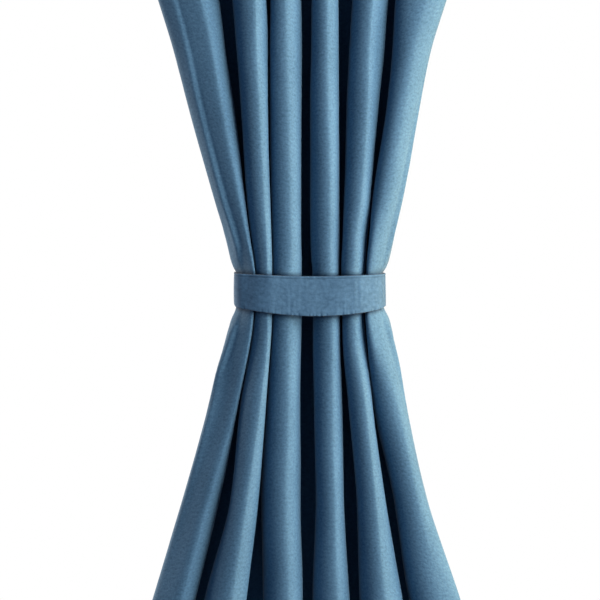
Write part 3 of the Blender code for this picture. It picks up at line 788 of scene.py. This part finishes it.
drape, column_of, row_of = add_grid("velvet_drape", columns, rows)
drop_of = row_drops[row_of]
hung = np.column_stack((place[row_of, column_of], -drop_of)) * MM
drape.data.vertices.foreach_set("co", hung.ravel())
set_uv(drape, np.column_stack((across[row_of, column_of], drop_of)) * MM)
drape.data.shade_smooth()
drape.data.update()
print("faces point to the front:", drape.data.polygons[len(drape.data.polygons) // 2].normal.y < 0)

# %% [markdown]
# ## Give the cloth its thickness
# A Solidify modifier turns the sheet into a solid behind its face. A vertex group says where
# the cloth is doubled, and there it is thicker, so the hems show at the back and on the edges.

# %% Thickness, more in the hems
HEM_THICKNESS = 5.0


def doubled_share(along, drop, width):
    """1 where the cloth is doubled by any of its hems, 0 where it is single."""
    return max(doubled_cloth(along, HEM_WIDTH), doubled_cloth(width - along, HEM_WIDTH),
               doubled_cloth(DROP - drop, BOTTOM_HEM), doubled_cloth(drop, HEADING))


hems = drape.vertex_groups.new(name="hems")
for vertex, (row, column) in enumerate(zip(row_of, column_of)):
    doubled = doubled_share(across[row, column], row_drops[row], across[row, -1])
    hems.add([vertex], float(doubled), "REPLACE")
solidify = drape.modifiers.new("thickness", "SOLIDIFY")
solidify.thickness = HEM_THICKNESS * MM
solidify.thickness_vertex_group = CLOTH_THICKNESS / HEM_THICKNESS
solidify.vertex_group = "hems"
solidify.offset = -1
solidify.use_even_offset = True
print("cloth is", CLOTH_THICKNESS, "mm thick, and", HEM_THICKNESS, "mm in its hems")

# %% [markdown]
# ## Painted shade in the depth of the folds
# The valleys between the folds, and the edges of the folds beside them, are darkened with painted shade.
# How deep in a valley each vertex lies, and how near a fold's edge, is kept on the mesh as an attribute,
# which the velvet reads later to darken its colour. It is tied to the cloth, not to the camera, so it is
# the same from every side.

# %% Painted shade: how far inside a fold each place lies
# Painted shade: how strong it is at a fold's edges and in a valley, and how far it reaches.
EDGE_SHADE = 0.55               # share of a face over which the shade runs out
DEEP_SHADE = 0.5                # in the depth of a valley
LEFT_EDGE_SHADE = (0.12, 1.0)   # at a fold's left edge, in the band and far from it
RIGHT_EDGE_SHADE = (0.3, 0.0)
SHADE_REACH = 420.0             # distance from the band that counts as far
SHADE_FADE = 1.5                # above 1, the shade is darkest close to the edge


def painted_shade_across_cut(left_edge, right_edge):
    """For each column of a cut, the painted shade: 0 on the face of a fold and more in the depth of a
    valley.
    """
    rise = np.clip(1 - np.arange(FRONT_STEPS) / (EDGE_SHADE * FRONT_STEPS), 0, 1)
    step = np.linspace(left_edge, DEEP_SHADE, FLANK_STEPS + 1)
    deep = np.concatenate((step[:-1], np.full(2 * BACK_STEPS, DEEP_SHADE), step[:0:-1]))
    in_valley = np.concatenate((right_edge * rise[::-1]**SHADE_FADE, deep,
                                left_edge * rise**SHADE_FADE))
    return np.concatenate((np.zeros(len(EDGE_COLUMNS) + LEFT_STEPS - 1),
                           np.tile(in_valley, len(VALLEY_SET_IN)),
                           np.zeros(len(EDGE_COLUMNS) + RIGHT_STEPS)))


from_waist = smooth_step(np.abs(row_drops - BAND_MIDDLE_DROP) / SHADE_REACH)
painted_shade_rows = np.array([painted_shade_across_cut(between(*LEFT_EDGE_SHADE, share), between(*RIGHT_EDGE_SHADE, share))
                   for share in from_waist])
painted_shade = drape.data.attributes.new("painted_shade", "FLOAT", "POINT")
print("darkest shade in a valley:", round(float(painted_shade_rows.max()), 2))

# %% [markdown]
# ## The tieback band
# The band is a narrow tube of the same velvet, pressed flat over a stiffener, deepest where it
# crosses the front. It could be a plain strip with a thickness, but its turned edges and its
# seam lines are what the eye catches, so a grid is wrapped into a tube whose rows run round its
# own cross-section, down the outside and up the inside.

# %% Rows round the tube
# share and from_edge: the place down the band, as a share of its depth and a distance from that.
# out: 0 on the inside, 1 on the outside.
TubeRow = namedtuple("TubeRow", "share from_edge out")
EDGE_ROUND = [(0.0, 0.50), (0.2, 0.78), (0.6, 0.93), (1.2, 1.0)]    # distance from the edge, out
TOP_SEAM = [(2.4, 1.0), (3.2, 0.98), (3.9, 0.89), (4.6, 0.90), (5.4, 0.98), (6.6, 1.0)]
BOTTOM_ROWS = [(6.0, 1.0), (4.5, 1.0), (3.2, 1.0), (2.2, 1.0)]
OUTSIDE = ([TubeRow(0, d, out) for d, out in EDGE_ROUND + TOP_SEAM]
           + [TubeRow(share, 0, 1.0) for share in np.linspace(0.2, 0.8, 10)]
           + [TubeRow(1, -d, out) for d, out in BOTTOM_ROWS + EDGE_ROUND[::-1]])
INSIDE = ([TubeRow(1, -d, 1 - out) for d, out in EDGE_ROUND[1:]] + [TubeRow(0.5, 0, 0.0)]
          + [TubeRow(0, d, 1 - out) for d, out in EDGE_ROUND[::-1]])
TUBE = OUTSIDE + INSIDE
print("rows round the band:", len(TUBE))

# %% [markdown]
# ## The line that the band follows
# The band lies on the folds like a belt, so it takes its line from them: the round front of the
# waist, and the plain oval of its back, with a little clearance all the way.

# %% Draw the line round the folds
BAND_FRONT_TOP, BAND_FRONT_BOTTOM = 1151.5, 1216.0
BAND_CLEARANCE = 0.9            # from the folds to the inside of the band
OUTLINE_STEPS = 400


def waist_outline():
    """A closed line round the folds from the middle of their back, by the left side."""
    left, right = waist_left - OVAL_MARGIN, waist_right + OVAL_MARGIN
    half = max(depth_at(drop) for drop in np.linspace(BAND_FRONT_TOP, BAND_FRONT_BOTTOM, 5)) / 2
    across = (1 - np.cos(np.linspace(0, math.pi, OUTLINE_STEPS + 1))) / 2
    x = left + across * (right - left)
    front = -half * np.sqrt(np.interp(across, FINE_ACROSS, FINE_FORWARD))
    back = (half + CLOTH_THICKNESS) * (1 - np.abs(2 * across - 1)**OVAL_POWER) ** (1 / OVAL_POWER)
    middle = OUTLINE_STEPS // 2
    return np.concatenate((np.column_stack((x, back))[middle:0:-1], np.column_stack((x, front)),
                           np.column_stack((x, back))[-2:middle - 1:-1]))


outline = waist_outline()
outline = outline + BAND_CLEARANCE * outwards_of(outline)
travelled = lengths_along(outline)
girth = travelled[-1]
print("band, mm round:", round(girth))

# %% [markdown]
# ## Lay the band along it
# The band's ends overlap at the back, where its outer end climbs over the inner one. A shaped
# tieback is deepest at the front and curves up towards the back, because it is drawn up to a
# hook there, so its two edges rise by different amounts.

# %% Places along the band
BAND_THICKNESS = 3.0
BAND_LAP = 45.0                 # how far its ends overlap
LAP_RAMP = 30.0                 # length over which the outer end climbs on to the inner one
LAP_GAP = 0.5
BAND_TOP_RISE, BAND_BOTTOM_RISE = 13.0, 38.0    # how much higher its edges lie at the far side
BAND_DEEPEST_ACROSS = 16.0      # where it is deepest, to the right of the middle
BAND_SPACING = 0.9              # distance between columns, fine enough for the puckers
band_columns = round((girth + BAND_LAP) / BAND_SPACING) + 1
lengths = np.linspace(-BAND_LAP / 2, girth + BAND_LAP / 2, band_columns)
inside = np.column_stack([np.interp(lengths % girth, travelled, line) for line in outline.T])
outwards = outwards_of(inside)
climb_start = girth - BAND_LAP / 2 - LAP_RAMP
climb = smooth_step((lengths - climb_start) / LAP_RAMP) * (BAND_THICKNESS + LAP_GAP)
in_front = (travelled > girth / 4) & (travelled < girth * 3 / 4)
deepest = np.interp(BAND_DEEPEST_ACROSS, outline[in_front, 0], travelled[in_front])
from_deepest = (1 - np.cos(2 * math.pi * (lengths - deepest) / girth)) / 2
band_top = BAND_FRONT_TOP - BAND_TOP_RISE * from_deepest
band_bottom = BAND_FRONT_BOTTOM - BAND_BOTTOM_RISE * from_deepest
print("band, mm deep:", round(float((band_bottom - band_top).max())))

# %% [markdown]
# ## Puckers of the band
# Velvet over a stiffener is never quite smooth. It has soft waves, fine upright ripples where
# it is drawn tight, and small puckers along the bottom, where the seam draws it in. Each is a
# noise of its own size, which is quicker than sculpting them and just as uneven.

# %% How far the band's outside stands out
# seed: which noise. around, down: the size of its marks. height: how far they stand out.
Mark = namedtuple("Mark", "seed around down height")
WAVE = Mark(1.5, 34.0, 34.0, 0.7)
TIGHT = Mark(7.5, 40.0, 60.0, 1.3)      # not a height, but how much the tightness varies
TIGHT_EVERYWHERE = 0.5                  # the tightness that it varies from
FINE_RIPPLE = Mark(3.5, 4.5, 45.0, 0.30)
PUCKER = Mark(9.5, 4.2, math.inf, 1.6)  # the same all the way down
PUCKER_REACH = 4.5                      # how far up from the bottom edge it fades


def uneven(mark, around, down):
    """The height of one kind of mark at one place of the band."""
    return mark.height * noise.noise(Vector((around / mark.around, down / mark.down, mark.seed)))


def band_ripple(around, down, from_bottom):
    """How far the band's outside stands out at one place."""
    tight = max(0.0, TIGHT_EVERYWHERE + uneven(TIGHT, around, down))
    pucker = min(0.0, uneven(PUCKER, around, down)) * math.exp(-(from_bottom / PUCKER_REACH) ** 2)
    return uneven(WAVE, around, down) + tight * uneven(FINE_RIPPLE, around, down) + pucker


print("ripple at one place, mm:", round(band_ripple(300.0, 30.0, 30.0), 2))

# %% [markdown]
# ## Wrap a grid into the band
# A flat grid again, with a row for each row of the tube and a column for each step round the
# waist. A column holds the tube's cross-section at one place, and each row of the tube says how
# far down and how far out its vertices lie there.

# %% Wrap it
# Painted shade covers the inside of the band and its turned edges, in full this far in from the outside,
# as a share of the thickness; the seam's groove gets some of it.
TURNED_IN = 0.3
band, column_of_band, row_of_band = add_grid("tieback", band_columns, len(TUBE))
wrapped = np.zeros((len(band.data.vertices), 3))
band_uv = np.zeros((len(wrapped), 2))
painted_edge_shade = np.zeros(len(wrapped))
for vertex, (column, row) in enumerate(zip(column_of_band, row_of_band)):
    tube_row = TUBE[row]
    depth = band_bottom[column] - band_top[column]
    down = tube_row.share * depth + tube_row.from_edge
    out = climb[column] + tube_row.out * BAND_THICKNESS
    out += max(0.0, 2 * tube_row.out - 1) * band_ripple(lengths[column], down, depth - down)
    wrapped[vertex] = (*(inside[column] + out * outwards[column]), -(band_top[column] + down))
    band_uv[vertex] = (lengths[column], down)
    painted_edge_shade[vertex] = min((1 - tube_row.out) / TURNED_IN, 1)
band.data.vertices.foreach_set("co", (wrapped * MM).ravel())
set_uv(band, band_uv * MM)
# Painted shade for the band's inside, turned edges and seam groove.
band.data.attributes.new("painted_shade", "FLOAT", "POINT").data.foreach_set("value", painted_edge_shade)
band.data.update()
print("band vertices:", len(wrapped))

# %% [markdown]
# ## Close the tube
# Where the first and the last row meet, each vertex is there twice, so these pairs are merged.
# What still has an open edge after that is the two ends, and each is filled with one face.

# %% Close the seam and the ends
MERGE_DISTANCE = 0.02
bpy.ops.object.mode_set(mode="EDIT")
bpy.ops.mesh.select_all(action="SELECT")
bpy.ops.mesh.remove_doubles(threshold=MERGE_DISTANCE * MM)
bpy.ops.mesh.select_all(action="DESELECT")
bpy.ops.mesh.select_non_manifold()
bpy.ops.mesh.fill_holes(sides=0)
bpy.ops.mesh.select_all(action="SELECT")
bpy.ops.mesh.normals_make_consistent(inside=False)
bpy.ops.object.mode_set(mode="OBJECT")
band.data.shade_smooth()
print("band faces:", len(band.data.polygons))

# %% [markdown]
# ## Painted shade where the band presses
# Right above and below the band the cloth disappears under its edge, and a thin dark line shows there.
# The render finds part of it by itself, and the rest is painted shade, added to the same attribute,
# strongest at the band's edge and gone a few millimetres away.

# %% Paint shade on the cloth at the band's edges
CONTACT_SHADE, CONTACT_REACH = 0.85, 4.5
at_front = inside[:, 1] < 0
top_there, bottom_there = (np.interp(hung[:, 0] / MM, inside[at_front, 0], edge[at_front])
                           for edge in (band_top, band_bottom))
from_band = np.maximum(np.maximum(top_there - drop_of, drop_of - bottom_there), 0)
# Painted shade on the face of the drape, beside the band's edges.
pressed = CONTACT_SHADE * np.exp(-(from_band / CONTACT_REACH) ** 2) * (hung[:, 1] < 0)
painted_shade.data.foreach_set("value", np.maximum(painted_shade_rows[row_of, column_of], pressed))
print("columns of the band in front:", int(at_front.sum()))

# %% [markdown]
# ## Cotton velvet
# Cotton velvet is a woven cloth with a short cut pile. The pile drinks light where the eye looks
# straight into it and glows softly where the cloth turns away, which is what sheen gives. Its
# weave shows as fine rows across the cloth, its pile as soft specks, and wider marks show where
# the pile lies another way. All three are noises that read the cloth's own UV map, stretched to
# their real sizes, so they need no picture.

# %% Grain in real sizes
REAL_RUN, REAL_ROW = 1.0, 0.4       # length and height of a real row of the weave
WEAVE_RUN, WEAVE_ROW = 7.0, 4.2     # as drawn, because real rows are too fine to show
TUFT = 3.6                          # specks of the pile, drawn coarser too
MARK_SIZE = 70.0                    # places where the pile lies another way
FINE_DETAIL, MARK_DETAIL = 1.0, 2.0     # how much finer noise lies over the grain and the marks
ROUGHNESS_OF_GRAIN = 0.6                # how strong that finer noise is


def grain(tree, cloth, across, down, detail):
    """Noise whose features have a size across and down the cloth, in millimetres."""
    mapping = add_node(tree, "ShaderNodeMapping", {"Vector": cloth.outputs["UV"],
                                                   "Scale": (1 / (across * MM), 1 / (down * MM), 1.0)})
    return add_node(tree, "ShaderNodeTexNoise", {"Vector": mapping.outputs["Vector"], "Scale": 1.0,
                                                 "Detail": detail, "Roughness": ROUGHNESS_OF_GRAIN})


print("a row is drawn", round(WEAVE_RUN / REAL_RUN, 1), "times as long and",
      round(WEAVE_ROW / REAL_ROW, 1), "times as high as it is")

# %% [markdown]
# ## One velvet, three finishes
# The face of the drape, its back and the pressed band are the same cloth, so one function makes
# all three. The grain picks a place between a shade and a face colour, which is how the tone of
# a piled cloth wanders, and raises the surface a little. Velvet is dull, so it is rough and
# hardly mirrors, and its sheen stays weak, as a strong one turns every outline chalky.

# %% A velvet
# A Mix node has sockets for numbers and for colours under the same names, so they go by number.
FACTOR, NUMBER_A, NUMBER_B, COLOUR_A, COLOUR_B, MIXED_COLOUR = 0, 2, 3, 6, 7, 2
TUFT_SHARE = 0.5                # specks to rows
MARK_SHARE = 0.3                # marks to the fine grain
GRAIN_LOW, GRAIN_HIGH = 0.32, 0.68  # noise rarely leaves this range, so it is spread from here


def velvet(name, shade, face, sheen, bump_height, coarseness=1.0, deep=None):
    """A pile cloth between a shade and a face colour. deep is the colour of the painted shade that the
    attribute lays on it.
    """
    material = bpy.data.materials.new(name)
    material.use_nodes = True
    tree = material.node_tree
    shader = tree.nodes["Principled BSDF"]
    cloth = add_node(tree, "ShaderNodeUVMap", uv_map="UVMap")
    weave_rows = grain(tree, cloth, WEAVE_RUN * coarseness, WEAVE_ROW * coarseness, FINE_DETAIL)
    tufts = grain(tree, cloth, TUFT * coarseness, TUFT * coarseness, FINE_DETAIL)
    marks = grain(tree, cloth, MARK_SIZE, 2 * MARK_SIZE, MARK_DETAIL)
    fine = add_node(tree, "ShaderNodeMix", {FACTOR: TUFT_SHARE, NUMBER_A: weave_rows.outputs[0],
                                            NUMBER_B: tufts.outputs[0]})
    tone = add_node(tree, "ShaderNodeMix", {FACTOR: MARK_SHARE, NUMBER_A: fine.outputs[0],
                                            NUMBER_B: marks.outputs[0]})
    spread = add_node(tree, "ShaderNodeMapRange", {"Value": tone.outputs[0], "From Min": GRAIN_LOW,
                                                   "From Max": GRAIN_HIGH})
    colour = add_node(tree, "ShaderNodeMix", {FACTOR: spread.outputs[0], COLOUR_A: linear(shade),
                                              COLOUR_B: linear(face)}, data_type="RGBA")
    # Painted shade: the attribute blends the colour towards deep in valleys, at fold edges, beside the
    # band and on the band's edges.
    if deep:
        fold = add_node(tree, "ShaderNodeAttribute", attribute_name="painted_shade")
        colour = add_node(tree, "ShaderNodeMix",
                          {FACTOR: fold.outputs["Fac"], COLOUR_A: colour.outputs[MIXED_COLOUR],
                           COLOUR_B: linear(deep)}, data_type="RGBA")
    bump = add_node(tree, "ShaderNodeBump",
                    {"Height": fine.outputs[0], "Strength": 1.0, "Distance": bump_height * MM})
    tree.links.new(colour.outputs[MIXED_COLOUR], shader.inputs["Base Color"])
    tree.links.new(bump.outputs[0], shader.inputs["Normal"])
    shader.inputs["Roughness"].default_value = 0.9
    shader.inputs["Specular IOR Level"].default_value = 0.2
    shader.inputs["Sheen Weight"].default_value = sheen
    shader.inputs["Sheen Roughness"].default_value = 0.38
    shader.inputs["Sheen Tint"].default_value = linear("#FFFFFF")
    return material


print("a speck of the pile is drawn", TUFT, "mm wide")

# %% [markdown]
# ## Dress the drape and the band
# The back is the flat ground that the pile is woven into, so it has no sheen and little relief.
# The band's pile is pressed flat by its making, and lies in broader, softer specks. Both faces turn to
# the same deep blue of painted shade where the attribute marks a place as shaded.

# %% Put the velvets on
# The colour of the painted shade.
PAINTED_SHADE_BLUE = "#20364E"
drape.data.materials.append(velvet("cotton_velvet", "#43657F", "#6087A4", sheen=0.2,
                                   bump_height=0.5, deep=PAINTED_SHADE_BLUE))
drape.data.materials.append(velvet("velvet_back", "#425D75", "#56748D", sheen=0.0, bump_height=0.2))
solidify.material_offset = 1
band.data.materials.append(velvet("pressed_velvet", "#3C5B76", "#567A98", sheen=0.2,
                                  bump_height=0.6, coarseness=1.6, deep=PAINTED_SHADE_BLUE))
print("materials:", [material.name for material in drape.data.materials[:] + band.data.materials[:]])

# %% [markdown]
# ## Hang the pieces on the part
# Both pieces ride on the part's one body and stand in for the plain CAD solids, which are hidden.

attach(drape, "root")
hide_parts("drape_panel")

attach(band, "root")
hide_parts("tieback_band")
